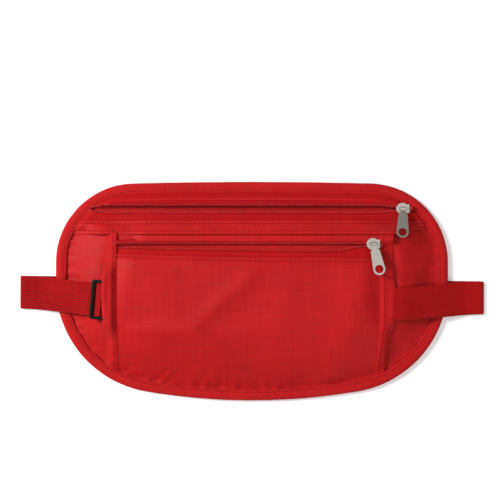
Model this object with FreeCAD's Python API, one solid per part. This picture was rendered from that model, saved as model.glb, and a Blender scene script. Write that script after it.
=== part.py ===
import FreeCAD, Part
import math
import os

# A flat zipped money belt, lying on its back with its strap ends folded behind it.
# X runs along the belt, Y up the wearer, Z out of the front. Z = 0 is the surface it lies on,
# and X = Y = 0 is the middle of the pouch. All sizes are millimetres.

# Pouch outline: two rounded corners on top, two larger ones below, joined by shallow arcs
pouch_width = 262.0
pouch_height = 146.0
upper_corner_radius = 53.0
upper_rise = 1.0
lower_corner_radius = 72.0
lower_rise = 5.0
shortest_side = 1.0

# Cloth and edge binding
cloth = 0.8
binding_width = 7.0
binding_wall = 1.0
binding_top = 0.8

# Main pocket
strap_lane_height = 1.5
rim_width = 8.0
slope_width = 25.0
main_depth = 9.2
main_zip_drop = 18.0
band_drop = 26.0
seam_drop = 37.0
top_panel_drop = 12.5
band_height = 6.6
lip_height = 4.0
lip_rise_run = 45.4
band_rise_run = 34.4

# Front pocket
pocket_left_inset = 39.5
pocket_right_inset = 44.5
pocket_binding_left_width = 6.5
pocket_binding_right_width = 7.0
pocket_binding_height = 1.6
pocket_depth = 4.4
pocket_side_run = 14.0
pocket_bottom_run = 14.0
pocket_zip_drop = 4.5
pocket_mouth = 4.2
pocket_lip_drop = 1.8
pocket_lip_width = 4.0
pocket_hem_width = 3.6
pocket_hem_height = 2.2

# Coil zippers and sliders
coil_width = 1.0
coil_height = 1.2
tape_thickness = 0.6
main_mouth = 4.2
slider_length = 8.6
slider_head_radius = 3.9
slider_tail_half = 2.8
plate_below = 0.7
channel_height = 1.9
plate_above = 0.8
slider_clearance = 0.3
stop_size = 1.6

# Lug and pull tab of each slider
lug_span = 6.4
lug_post = 1.2
lug_bar_radius = 0.6
eye_clearance = 0.08
eye_wall = 0.65
eye_length = 3.4
lug_room = 0.2
tab_length = 21.0
tab_neck_half = 1.7
tab_neck_length = 3.2
tab_shoulder_half = 3.0
tab_shoulder_run = 1.4
tab_end_half = 4.0
tab_thickness = 1.0
tab_hole_radius = 2.75
main_tab_lean = -4.0
main_tab_lift = 22.0
pocket_tab_lean = 12.0
pocket_tab_lift = 6.0

# Webbing
strap_width = 22.0
strap_thickness = 1.2
strap_overhang = 24.0
strap_landing = 11.0
strap_fold = 1.4
strap_gap = 0.2
strap_edge_room = 1.2
left_root_y = -5.5
left_rise = 4.8
left_fold_y = -0.7
right_root_y = -7.9
right_rise = 3.2
right_fold_y = -4.5

# Adjuster on the left strap
adjuster_bar = 2.1
adjuster_window = 2.6
adjuster_side = 1.8
adjuster_thickness = 1.6
adjuster_inside = 4.2
adjuster_loop = 0.8
adjuster_gap = 0.3
tunnel_room = 0.6
tunnel_wall = 0.8

# Side release buckle behind the pouch
buckle_inset = 27.0
buckle_half = 14.0
buckle_height = 5.6
buckle_wall = 1.1
buckle_side = 1.4
buckle_bar = 2.2
buckle_slot = 3.4
housing_length = 22.0
window_length = 9.0
window_back = 6.0
buckle_gap = 0.3
male_base = 10.0
prong_thick = 2.0
prong_at = 8.5
prong_length = 18.0
catch_length = 8.2
guide_half = 1.5
buckle_travel = 24.0
bulge_taper = 3.0

V = FreeCAD.Vector
X_AXIS = V(1, 0, 0)
Y_AXIS = V(0, 1, 0)
Z_AXIS = V(0, 0, 1)
far = 400.0

# Levels and places that follow from the sizes above
half_long = pouch_width / 2
strap_reach = half_long + strap_overhang
strap_slope_end = half_long + strap_landing
pocket_left = pocket_left_inset - half_long
pocket_right = half_long - pocket_right_inset
buckle_left = buckle_inset - half_long
top_y = pouch_height / 2
upper_corner_y = top_y - upper_corner_radius - upper_rise
room_below = pouch_height - upper_corner_radius - upper_rise - lower_rise - shortest_side
lower_radius = min(lower_corner_radius, room_below)
lower_corner_y = -top_y + lower_radius + lower_rise
back_z = strap_lane_height
front_z = back_z + cloth
rim_z = front_z + cloth
crown_z = front_z + main_depth
front_top = crown_z + cloth
crown_inset = rim_width + slope_width
main_zip_y = top_y - main_zip_drop
band_y = top_y - band_drop
seam_y = top_y - seam_drop
top_panel_y = top_y - top_panel_drop
pocket_top = front_top + pocket_depth
pocket_slider_y = seam_y - pocket_zip_drop
pocket_lip_y = pocket_slider_y - 1.5 * coil_width - pocket_mouth
slider_height = plate_below + channel_height + plate_above
main_slider_z = rim_z + binding_top + slider_clearance
pocket_slider_z = front_top + slider_clearance
eye_radius = lug_bar_radius + eye_clearance
lug_height = slider_height + eye_radius + eye_wall + lug_room
back_lane_turn = math.degrees(math.atan2(right_fold_y - left_fold_y, 2 * strap_reach))
back_lane_y = (left_fold_y + right_fold_y) / 2
slope_start = half_long - crown_inset + strap_edge_room
strap_root_z = front_top + adjuster_gap / 3
strap_flat_z = strap_thickness + strap_gap
slope_turn = math.degrees(math.atan2(strap_root_z - strap_flat_z, strap_slope_end - slope_start))


def save(name, shape):
    shape.exportStep("parts/" + name + ".step")


def box(x0, x1, y0, y1, z0, z1):
    return Part.makeBox(x1 - x0, y1 - y0, z1 - z0, V(x0, y0, z0))


def polygon_solid(points, push):
    """A straight prism from its corner points, pushed along a vector."""
    wire = Part.makePolygon(points + [points[0]])
    return Part.Face(wire).extrude(push)


def turned(shape, centre, axis, degrees):
    moved = shape.copy()
    moved.rotate(centre, axis, degrees)
    return moved


def shifted(shape, x, y, z):
    moved = shape.copy()
    moved.translate(V(x, y, z))
    return moved


def mirrored(points):
    """Points of the right half followed by their mirror images, from right to left."""
    return points + [(-x, z) for x, z in reversed(points)]


# Outline


def corner_points(inset, corner_y, corner_radius, rise, way):
    """Where a corner arc is halfway, where it meets the shallow arc, and that arc's crest."""
    reach = half_long - inset
    radius = corner_radius - inset
    shallow = (reach**2 + (radius + rise) ** 2 - 2 * reach * radius) / (2 * rise)
    angle = math.atan2(shallow - radius - rise, reach - radius)
    points = []
    for part in (0.5, 1.0):
        x = reach - radius + radius * math.cos(angle * part)
        y = corner_y + way * radius * math.sin(angle * part)
        points.append((x, y))
    return points + [(0.0, corner_y + way * (radius + rise))]


def outline(inset, z):
    """The pouch's outline as a closed wire, inset from its edge."""
    reach = half_long - inset
    up_mid, up_meet, crest = corner_points(inset, upper_corner_y, upper_corner_radius, upper_rise, 1)
    low_mid, low_meet, foot = corner_points(inset, lower_corner_y, lower_radius, lower_rise, -1)

    def at(point, side=1):
        return V(side * point[0], point[1], z)

    high = (reach, upper_corner_y)
    low = (reach, lower_corner_y)
    edges = [
        Part.LineSegment(at(low), at(high)),
        Part.Arc(at(high), at(up_mid), at(up_meet)),
        Part.Arc(at(up_meet), at(crest), at(up_meet, -1)),
        Part.Arc(at(up_meet, -1), at(up_mid, -1), at(high, -1)),
        Part.LineSegment(at(high, -1), at(low, -1)),
        Part.Arc(at(low, -1), at(low_mid, -1), at(low_meet, -1)),
        Part.Arc(at(low_meet, -1), at(foot), at(low_meet)),
        Part.Arc(at(low_meet), at(low_mid), at(low)),
    ]
    return Part.Wire([edge.toShape() for edge in edges])


def slab(inset, z0, z1):
    return Part.Face(outline(inset, z0)).extrude(V(0, 0, z1 - z0))


def dome(foot_inset, foot_z, head_inset, head_z):
    """A flat topped mound with sloping sides."""
    return Part.makeLoft([outline(foot_inset, foot_z), outline(head_inset, head_z)], True, True)


def half_width(inset, y):
    """Half of the inset outline's width at height y, beside its corners."""
    corner_y, radius = upper_corner_y, upper_corner_radius
    if y < upper_corner_y:
        corner_y, radius = lower_corner_y, lower_radius
    rise = max(0.0, (y - corner_y) * (1 if y > upper_corner_y else -1))
    return half_long - radius + math.sqrt(max(0.0, (radius - inset) ** 2 - rise**2))


def front_cover(head_inset, head_z):
    """The front cloth: a flat rim in the binding, a slope and a flat top at head_z."""
    rim = slab(binding_wall, front_z, rim_z)
    outside = dome(rim_width, rim_z, head_inset, head_z + cloth)
    inside = dome(rim_width + cloth, front_z, head_inset + cloth, head_z)
    return rim.fuse(outside).cut(inside)


def front_under(x, y):
    """Height of the front cloth's underside on its side slope."""
    foot = half_width(rim_width, y)
    head = half_width(crown_inset, y)
    share = min(1.0, max(0.0, (foot - x) / (foot - head)))
    return front_z + share * main_depth


def strip(y0, under0, y1, under1, thickness):
    """Cloth between heights y0 and y1, from the (x, z) points of its underside at each."""
    rings = []
    for y, under in ((y0, under0), (y1, under1)):
        ring = [V(x, y, z) for x, z in under]
        ring += [V(x, y, z + thickness) for x, z in reversed(under)]
        rings.append(Part.makePolygon(ring + [ring[0]]))
    return Part.makeLoft(rings, True, True)


# Back panel, binding and main pocket


def lane(shape):
    """Puts a piece modelled along X onto the line that both straps follow behind the pouch."""
    moved = turned(shape, V(0, 0, 0), Z_AXIS, back_lane_turn)
    return shifted(moved, 0, back_lane_y, 0)


def bulge(room, top):
    """A tapered block around the buckle and its way out."""
    x0 = buckle_left - room
    x1 = buckle_left + buckle_bar + buckle_slot + housing_length + male_base
    x1 += buckle_slot + buckle_bar + buckle_travel + room
    half = buckle_half + room
    z = 0.0

    def ring(grow, level):
        corners = [(x0 - grow, -half - grow), (x1 + grow, -half - grow)]
        corners += [(x1 + grow, half + grow), (x0 - grow, half + grow)]
        points = [V(x, y, level) for x, y in corners]
        return Part.makePolygon(points + [points[0]])

    return lane(Part.makeLoft([ring(bulge_taper, z), ring(0.0, top)], True, True))


def back_panel():
    room = 0.5
    outside = bulge(room + cloth, buckle_height + buckle_gap + cloth)
    above = box(-far, far, -far, far, back_z, far)
    panel = slab(binding_wall, back_z, front_z).fuse(outside.common(above))
    return panel.cut(bulge(room, buckle_height + buckle_gap))


def edge_binding():
    full = slab(0.0, 0.0, rim_z + binding_top)
    hollow = slab(binding_wall, back_z, rim_z)
    middle = slab(binding_width, -1.0, far)
    notch = lane(box(-far, far, -strap_width / 2 - 0.5, strap_width / 2 + 0.5, -1.0, back_z))
    return full.cut(hollow).cut(middle).cut(notch)


def below(shape, y):
    return shape.common(box(-far, far, -far, y, -far, far))


def above(shape, y):
    return shape.common(box(-far, far, y, far, -far, far))


def front_panel():
    return below(front_cover(crown_inset, crown_z), seam_y)


def top_panel():
    """The narrow panel above the main zipper, with the rim beside the zipper's ends."""
    tape_z = main_tape_z()
    panel = above(front_cover(top_panel_drop, tape_z - tape_thickness / 2), top_panel_y)
    rim = slab(binding_wall, front_z, rim_z).cut(slab(rim_width, front_z - 1, rim_z + 1))
    return panel.fuse(below(above(rim, seam_y), top_panel_y))


def main_tape_z():
    """Underside of the main zipper's tape where it passes through the slider."""
    return main_slider_z + plate_below + (channel_height - tape_thickness) / 2


def main_slider_x():
    return half_width(rim_width, main_zip_y) - slider_length / 2 - slider_clearance


def lip_profile(y, run, height):
    """Underside of cloth or tape by the zipper: in the rim at both ends, level with the slider, higher between."""
    crown = main_slider_x() - run
    outer = main_slider_x() + slider_length / 2 + slider_clearance
    inner = main_slider_x() - slider_length / 2 - slider_clearance
    tape_z = main_tape_z()
    right = [(half_width(rim_width, y), front_z), (outer, tape_z), (inner, tape_z)]
    return mirrored(right + [(crown, front_z + height)])


def band_root_profile():
    """Underside of the front cloth where the band is sewn to it."""
    outer = main_slider_x() + slider_length / 2 + slider_clearance
    inner = main_slider_x() - slider_length / 2 - slider_clearance
    right = [(half_width(rim_width, seam_y), front_z)]
    right += [(x, front_under(x, seam_y)) for x in (outer, inner)]
    return mirrored(right + [(half_width(crown_inset, seam_y), crown_z)])


def lip_edge_y():
    return main_zip_y - main_mouth / 2 - coil_width


def facing_band():
    return strip(seam_y, band_root_profile(), band_y, lip_profile(band_y, band_rise_run, band_height), cloth)


def main_tape_lower():
    y = lip_edge_y()
    low = lip_profile(band_y, band_rise_run, band_height)
    return strip(band_y, low, y, lip_profile(y, lip_rise_run, lip_height), tape_thickness)


def main_coil_lower():
    y = lip_edge_y()
    profile = lip_profile(y, lip_rise_run, lip_height)
    coil = strip(y, profile, y + coil_width, profile, coil_height)
    reach = main_slider_x() - slider_length / 2 - slider_clearance
    return coil.common(box(-reach, reach, -far, far, -far, far))


def main_tape_upper():
    y0 = main_zip_y + main_mouth / 2 + coil_width
    z = main_tape_z()
    tape = box(-far, far, y0, top_panel_y, z, z + tape_thickness)
    return tape.common(slab(rim_width, 0.0, far))


def main_coil_upper():
    y0 = main_zip_y + main_mouth / 2
    z = main_tape_z() - (coil_height - tape_thickness) / 2
    reach = main_slider_x() - slider_length / 2 - slider_clearance
    return box(-reach, reach, y0, y0 + coil_width, z, z + coil_height)


def zip_stops(x0, x1, line_y, tape_z, apart):
    """Two top stops, one on each tape, and one bottom stop across both."""
    solids = []
    z0 = tape_z - 0.4
    z1 = tape_z + coil_height + 0.2
    for side in (-1, 1):
        y = line_y + side * (apart / 2 + coil_width / 2)
        solids.append(box(x0 - stop_size, x0, y - coil_width / 2, y + coil_width / 2, z0, z1))
    solids.append(box(x1, x1 + stop_size, line_y - stop_size, line_y + stop_size, z0, z1))
    return Part.makeCompound(solids)


def main_zip_stops():
    reach = main_slider_x() - slider_length / 2 - slider_clearance
    end = main_slider_x() + slider_length / 2 + slider_clearance
    return zip_stops(-reach, end, main_zip_y, main_tape_z(), main_mouth)


# Front pocket


def side_prism(lift):
    """Everything under the pocket's cross section, lifted by its cloth."""
    low = front_top + lift
    high = pocket_top + lift
    points = [(pocket_left, 0.0), (pocket_left, low), (pocket_left + pocket_side_run, high)]
    points += [(pocket_right - pocket_side_run, high), (pocket_right, low), (pocket_right, 0.0)]
    return polygon_solid([V(x, -far, z) for x, z in points], V(0, 2 * far, 0))


def front_solid():
    return dome(rim_width, rim_z, crown_inset, front_top)


def pocket_panel():
    head = rim_width + pocket_bottom_run
    outside = dome(rim_width, rim_z, head, pocket_top + cloth).common(side_prism(cloth))
    inside = dome(rim_width + cloth, rim_z, head + cloth, pocket_top).common(side_prism(0.0))
    shell = outside.cut(inside).cut(front_solid())
    return below(shell, pocket_lip_y - pocket_lip_width)


def pocket_profile(height):
    run = pocket_side_run
    left = [(pocket_left, front_top), (pocket_left + run, height)]
    return left + [(pocket_right - run, height), (pocket_right, front_top)]


def pocket_tape_lower():
    y0 = pocket_lip_y - pocket_lip_width
    high = pocket_profile(pocket_top - pocket_lip_drop)
    return strip(y0, pocket_profile(pocket_top), pocket_lip_y, high, tape_thickness)


def pocket_coil_lower():
    profile = pocket_profile(pocket_top - pocket_lip_drop)
    y1 = pocket_lip_y + coil_width
    return strip(pocket_lip_y, profile, y1, profile, coil_height)


def pocket_tape_z():
    return pocket_slider_z + plate_below + (channel_height - tape_thickness) / 2


def pocket_slider_x():
    return pocket_right - slider_length / 2 - stop_size - 2 * slider_clearance


def pocket_coil_upper():
    y0 = pocket_slider_y - coil_width / 2
    z = pocket_tape_z() - (coil_height - tape_thickness) / 2
    x1 = pocket_slider_x() - slider_length / 2 - slider_clearance
    return box(pocket_left, x1, y0, y0 + coil_width, z, z + coil_height)


def pocket_tape_upper():
    y0 = pocket_slider_y + coil_width / 2
    z = pocket_tape_z()
    return box(pocket_left, pocket_right, y0, seam_y - 0.4, z, z + tape_thickness)


def pocket_top_hem():
    """The folded strip that holds the upper tape along the seam."""
    y0 = seam_y - 0.4
    x0 = pocket_left - pocket_binding_left_width
    x1 = pocket_right + pocket_binding_right_width
    return box(x0, x1, y0, y0 + pocket_hem_width, front_top, front_top + pocket_hem_height)


def pocket_zip_stops():
    x0 = pocket_left + stop_size
    x1 = pocket_slider_x() + slider_length / 2 + slider_clearance
    z0 = pocket_tape_z() - 0.4
    z1 = pocket_tape_z() + coil_height + 0.2
    y = pocket_slider_y
    near = box(x0 - stop_size, x0, y - coil_width, y - coil_width / 2, z0, z1)
    end = box(x1, x1 + stop_size, y - stop_size, y + coil_width / 2, z0, z1)
    return Part.makeCompound([near, end])


def pocket_binding(x0, x1):
    """Binding down one side of the pocket, lying on the front cloth."""
    skirt = slab(rim_width, rim_z, rim_z + pocket_binding_height)
    raised = shifted(front_solid(), 0, 0, pocket_binding_height).fuse(skirt)
    cover = raised.cut(front_solid())
    return below(cover.common(box(x0, x1, -far, far, -far, far)), seam_y - 0.4)


def pocket_binding_right():
    return pocket_binding(pocket_right, pocket_right + pocket_binding_right_width)


def pocket_binding_left():
    """The left binding also passes over the end of the adjuster."""
    x0 = pocket_left - pocket_binding_left_width
    strap_half = adjuster_half() + tunnel_room * 2
    roof = strap_root_z + strap_thickness + adjuster_gap + adjuster_thickness + tunnel_room
    roof += adjuster_inside * math.tan(math.radians(slope_turn))
    block = box(x0, pocket_left, left_root_y - strap_half - tunnel_wall,
                left_root_y + strap_half + tunnel_wall, front_top, roof + tunnel_wall)
    tunnel = box(x0 - 1, tunnel_end(), left_root_y - strap_half, left_root_y + strap_half,
                 front_top, roof)
    return pocket_binding(x0, pocket_left).fuse(block).cut(tunnel)


# Straps


def tunnel_end():
    return -slope_start + adjuster_inside + 2 * tunnel_room


def strap_front(side, root, root_y, rise, fold_y):
    """A strap from the pocket's side, straight down past the pouch's edge, to its fold."""
    under = [(root, strap_root_z), (slope_start, strap_root_z), (strap_slope_end, strap_flat_z)]
    under += [(strap_reach - strap_fold / 2, strap_flat_z)]
    over = [(x, z + strap_thickness) for x, z in reversed(under)]
    half = strap_width / 2
    points = [V(side * x, root_y - half, z) for x, z in under + over]
    strap = polygon_solid(points, V(0, strap_width, 0))
    strap = turned(strap, V(side * slope_start, root_y, 0), Z_AXIS, side * rise)
    fold_x = sorted((side * strap_reach, side * (strap_reach - strap_fold)))
    fold = box(*fold_x, fold_y - half, fold_y + half, 0.0, strap_flat_z + strap_thickness)
    return strap.fuse(fold)


def strap_left_front():
    front = strap_front(-1, -tunnel_end() - 2, left_root_y, left_rise, left_fold_y)
    return front.common(box(-far, tunnel_end(), -far, far, -far, far))


def strap_right_front():
    root = pocket_right + pocket_binding_right_width
    front = strap_front(1, root - 2, right_root_y, right_rise, right_fold_y)
    return front.common(box(root, far, -far, far, -far, far))


def back_strap(x0, x1):
    half = strap_width / 2
    inner = strap_reach - strap_fold
    strap = lane(box(x0, x1, -half, half, 0.0, strap_thickness))
    return strap.common(box(-inner, inner, -far, far, -far, far))


def strap_end_loop(x0, x1, bar0, bar1):
    """The strap's sewn end, wrapped over a buckle's bar, with its tail beside the bar."""
    half = strap_width / 2
    top = buckle_bar_top() + adjuster_loop
    block = box(x0, x1, -half, half, strap_thickness, top)
    return block.cut(box(bar0, bar1, -half, half, 0.0, buckle_bar_top()))


def buckle_bar_top():
    return strap_thickness + 0.2 + buckle_bar


# Adjuster


def adjuster_half():
    return strap_width / 2 + 0.3 + adjuster_side


def on_left_strap(shape):
    """Puts a piece modelled flat at the origin onto the top of the left strap's slope."""
    tilted = turned(shape, V(0, 0, 0), Y_AXIS, -slope_turn)
    aimed = turned(tilted, V(0, 0, 0), Z_AXIS, -left_rise)
    return shifted(aimed, -slope_start, left_root_y, strap_root_z + strap_thickness)


def adjuster_bars():
    """Where the three bars start, from the pouch's side outwards."""
    step = adjuster_bar + adjuster_window
    return [adjuster_inside - adjuster_bar - step * count for count in range(3)]


def tri_glide():
    half = adjuster_half()
    z0 = adjuster_gap
    z1 = adjuster_gap + adjuster_thickness
    bars = adjuster_bars()
    frame = box(bars[2], adjuster_inside, -half, half, z0, z1)
    corners = [edge for edge in frame.Edges if edge.BoundBox.ZLength > adjuster_thickness / 2]
    frame = frame.makeFillet(adjuster_side, corners)
    inside = half - adjuster_side
    for bar in bars[:2]:
        window = box(bar - adjuster_window, bar, -inside, inside, z0 - 1, z1 + 1)
        frame = frame.cut(window)
    return on_left_strap(frame)


def tri_glide_loop():
    """The strap's end, sewn round the adjuster's middle bar."""
    bar = adjuster_bars()[1]
    half = strap_width / 2 - 0.2
    x0 = bar - adjuster_loop
    x1 = bar + adjuster_bar + adjuster_loop
    z1 = adjuster_gap + adjuster_thickness
    loop = box(x0, x1, -half, half, adjuster_gap / 2, z1 + adjuster_loop)
    return on_left_strap(loop.cut(box(bar, bar + adjuster_bar, -half, half, 0.0, z1)))


# Sliders and pull tabs


def slider_plate(z0, z1, shrink=0.0):
    head_x = -slider_length / 2 + slider_head_radius
    head = Part.makeCylinder(slider_head_radius - shrink, z1 - z0, V(head_x, 0, z0))
    tail_half = slider_tail_half - shrink
    tail = box(head_x, slider_length / 2, -tail_half, tail_half, z0, z1)
    return head.fuse(tail)


def slider_body():
    """Two plates joined by a wedge at the head, with edges turned down over the tapes."""
    low = plate_below
    high = plate_below + channel_height
    body = slider_plate(0.0, low).fuse(slider_plate(high, slider_height))
    wedge_x = -slider_length / 2 + 0.6
    wedge = [V(wedge_x, -0.45, low), V(wedge_x, 0.45, low), V(wedge_x + 3.0, 0, low)]
    body = body.fuse(polygon_solid(wedge, V(0, 0, channel_height)))
    edge = slider_plate(high - 0.5, high).cut(slider_plate(high - 0.5, high, 0.5))
    mouths = box(-far, -slider_length / 2 + 1.4, -far, far, -far, far)
    mouths = mouths.fuse(box(slider_length / 2 - 0.5, far, -far, far, -far, far))
    return body.fuse(edge.cut(mouths))


def slider_lug():
    """The arch on the slider's top plate that the pull tab hangs from."""
    half = lug_span / 2
    rod = Part.makeCylinder(lug_bar_radius, lug_span, V(-half, 0, lug_height), X_AXIS)
    for x in (-half, half - lug_post):
        post = box(x, x + lug_post, -lug_bar_radius, lug_bar_radius, slider_height, lug_height)
        rod = rod.fuse(post)
    return rod


def pull_tab(lean, lift):
    """A tab with a short neck and a round end with a round hole, hung from the lug by its eye."""
    eye = Part.makeCylinder(eye_radius + eye_wall, eye_length, V(-eye_length / 2, 0, 0), X_AXIS)
    low = -tab_thickness / 2
    end_y = tab_end_half - tab_length
    right = [V(tab_neck_half, 0, low), V(tab_neck_half, -tab_neck_length, low)]
    right += [V(tab_shoulder_half, -tab_neck_length - tab_shoulder_run, low), V(tab_end_half, end_y, low)]
    left = [V(-point.x, point.y, point.z) for point in reversed(right)]
    plate = polygon_solid(right + left, V(0, 0, tab_thickness))
    plate = plate.fuse(Part.makeCylinder(tab_end_half, tab_thickness, V(0, end_y, low)))
    plate = plate.cut(Part.makeCylinder(tab_hole_radius, tab_thickness, V(0, end_y, low)))
    plate = turned(plate, V(0, 0, 0), Z_AXIS, lean)
    bore = Part.makeCylinder(eye_radius, 2 * eye_length, V(-eye_length, 0, 0), X_AXIS)
    return turned(eye.fuse(plate).cut(bore), V(0, 0, 0), X_AXIS, -lift)


def save_zip_runner(name, place, lean, lift):
    save(name + "_slider", shifted(slider_body(), *place))
    save(name + "_slider_lug", shifted(slider_lug(), *place))
    save(name + "_pull_tab", shifted(pull_tab(lean, lift), *(place + V(0, 0, lug_height))))


# Buckle, modelled along X and put in the lane behind the pouch


def housing_start():
    return buckle_left + buckle_bar + buckle_slot


def housing_end():
    return housing_start() + housing_length


def frame_with_slot(x0, x1, slot0, slot1, half):
    """A flat frame with a slot for the strap's end."""
    low = strap_thickness + 0.2
    frame = box(x0, x1, -half, half, low, low + buckle_bar)
    inside = half - buckle_side
    return frame.cut(box(slot0, slot1, -inside, inside, 0.0, far))


def buckle_female():
    x0 = housing_start()
    x1 = housing_end()
    shell = box(x0, x1, -buckle_half, buckle_half, 0.0, buckle_height)
    inside = buckle_half - buckle_side
    cavity = box(x0 + 2, x1 + 1, -inside, inside, buckle_wall, buckle_height - buckle_wall)
    window_x = x0 + window_back
    windows = box(window_x, window_x + window_length, -far, far, buckle_wall, buckle_height - buckle_wall)
    frame = frame_with_slot(buckle_left, x0 + 1, buckle_left + buckle_bar, x0, buckle_half)
    return lane(shell.cut(cavity).cut(windows).fuse(frame))


def male_start():
    return housing_end() + buckle_gap


def male_end():
    return male_start() + male_base + buckle_slot + buckle_bar


def buckle_male():
    x0 = male_start()
    x1 = x0 + male_base
    half = buckle_half - 1.0
    base = box(x0, x1, -half, half, 0.6, buckle_height - 0.6)
    for y in (prong_at, -prong_at):
        socket = Part.makeCylinder(prong_thick / 2 + buckle_gap, buckle_height, V(housing_end(), y, 0))
        base = base.cut(socket)
    guide_z = buckle_wall + buckle_gap
    guide = box(housing_start() + 4, x0, -guide_half, guide_half, guide_z, buckle_height - guide_z)
    frame = frame_with_slot(x1 - 1, male_end(), x1, male_end() - buckle_bar, half)
    return lane(base.fuse(guide).fuse(frame))


def buckle_prong(side):
    """A springy arm from a round root to a catch, which stands in the housing's side window."""
    root = housing_end()
    tip = root - prong_length
    inner = prong_at - prong_thick / 2
    outer = prong_at + prong_thick / 2
    catch_out = buckle_half - 0.1
    window_end = housing_start() + window_back + window_length
    catch_end = window_end - 0.4
    catch_top = catch_end - catch_length
    points = [(root, inner), (tip, inner), (tip, outer), (catch_top + 2.6, catch_out - 0.4)]
    points += [(catch_end, catch_out), (catch_end, outer), (root, outer)]
    z0 = buckle_wall + buckle_gap
    high = buckle_height - 2 * z0
    arm = polygon_solid([V(x, side * y, z0) for x, y in points], V(0, 0, high))
    knuckle = Part.makeCylinder(prong_thick / 2, high, V(root, side * prong_at, z0))
    return lane(arm.fuse(knuckle))


def save_buckle():
    loop_left = buckle_left - adjuster_loop
    save("buckle_female", buckle_female())
    left = strap_end_loop(loop_left, buckle_left + buckle_bar + adjuster_loop,
                          buckle_left, buckle_left + buckle_bar)
    save("strap_left_end_loop", lane(left))
    save("buckle_male", buckle_male())
    bar = male_end() - buckle_bar
    right = strap_end_loop(bar - adjuster_loop, male_end() + adjuster_loop, bar, male_end())
    save("strap_right_end_loop", lane(right))
    save("buckle_prong_upper", buckle_prong(1))
    save("buckle_prong_lower", buckle_prong(-1))


def main():
    os.makedirs("parts", exist_ok=True)
    save("back_panel", back_panel())
    save("edge_binding", edge_binding())
    save("front_panel", front_panel())
    save("top_panel", top_panel())
    save("facing_band", facing_band())
    save("main_tape_lower", main_tape_lower())
    save("main_coil_lower", main_coil_lower())
    save("main_tape_upper", main_tape_upper())
    save("main_coil_upper", main_coil_upper())
    save("main_zip_stops", main_zip_stops())
    save("pocket_panel", pocket_panel())
    save("pocket_tape_lower", pocket_tape_lower())
    save("pocket_coil_lower", pocket_coil_lower())
    save("pocket_tape_upper", pocket_tape_upper())
    save("pocket_coil_upper", pocket_coil_upper())
    save("pocket_top_hem", pocket_top_hem())
    save("pocket_zip_stops", pocket_zip_stops())
    save("pocket_binding_left", pocket_binding_left())
    save("pocket_binding_right", pocket_binding_right())
    save("strap_left_front", strap_left_front())
    save("strap_left_back", back_strap(-strap_reach, buckle_left + buckle_bar))
    save("strap_right_front", strap_right_front())
    save("strap_right_back", back_strap(male_end() - buckle_bar, strap_reach))
    save("tri_glide", tri_glide())
    save("tri_glide_loop", tri_glide_loop())
    save_zip_runner("main", V(main_slider_x(), main_zip_y, main_slider_z), main_tab_lean, main_tab_lift)
    place = V(pocket_slider_x(), pocket_slider_y, pocket_slider_z)
    save_zip_runner("pocket", place, pocket_tab_lean, pocket_tab_lift)
    save_buckle()


main()
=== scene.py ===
import math
from collections import namedtuple

import bmesh
import bpy
import numpy as np
from bpy.props import FloatProperty, FloatVectorProperty, IntProperty, PointerProperty
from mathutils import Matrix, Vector


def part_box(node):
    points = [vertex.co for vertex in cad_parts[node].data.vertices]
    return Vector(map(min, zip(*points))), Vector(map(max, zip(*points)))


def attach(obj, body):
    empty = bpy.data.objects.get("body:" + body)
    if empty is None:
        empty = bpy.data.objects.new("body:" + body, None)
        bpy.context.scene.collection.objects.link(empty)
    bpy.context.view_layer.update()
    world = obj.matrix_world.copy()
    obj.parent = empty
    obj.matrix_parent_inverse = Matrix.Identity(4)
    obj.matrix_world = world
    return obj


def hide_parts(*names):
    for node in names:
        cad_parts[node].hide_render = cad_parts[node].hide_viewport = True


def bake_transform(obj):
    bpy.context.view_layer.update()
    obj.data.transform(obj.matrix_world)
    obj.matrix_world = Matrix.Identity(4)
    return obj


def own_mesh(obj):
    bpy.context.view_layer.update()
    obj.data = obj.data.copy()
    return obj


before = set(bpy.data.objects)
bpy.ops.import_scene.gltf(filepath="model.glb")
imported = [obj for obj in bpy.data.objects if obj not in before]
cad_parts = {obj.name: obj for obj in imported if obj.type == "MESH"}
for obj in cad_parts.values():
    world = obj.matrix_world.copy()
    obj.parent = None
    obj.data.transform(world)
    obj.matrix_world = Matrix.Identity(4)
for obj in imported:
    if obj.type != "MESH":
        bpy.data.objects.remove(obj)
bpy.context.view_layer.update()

bl_info = {
    "name": "Money belt",
    "version": (1, 0, 0),
    "blender": (4, 5, 0),
    "location": "View3D > Sidebar > Money belt",
    "description": "A flat zipped waist pouch with a front pocket, bound edge, straps, adjuster and buckle",
    "category": "Add Mesh",
}

MM = 0.001


def length_property(name, default, description):
    """A size in metres that the sidebar shows in the scene's length unit."""
    return FloatProperty(name=name, default=default, min=0.0, precision=5, unit="LENGTH",
                         description=description)


def colour_property(name, default, description):
    return FloatVectorProperty(name=name, default=default, size=3, min=0.0, max=1.0, subtype="COLOR",
                               description=description)


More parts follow.
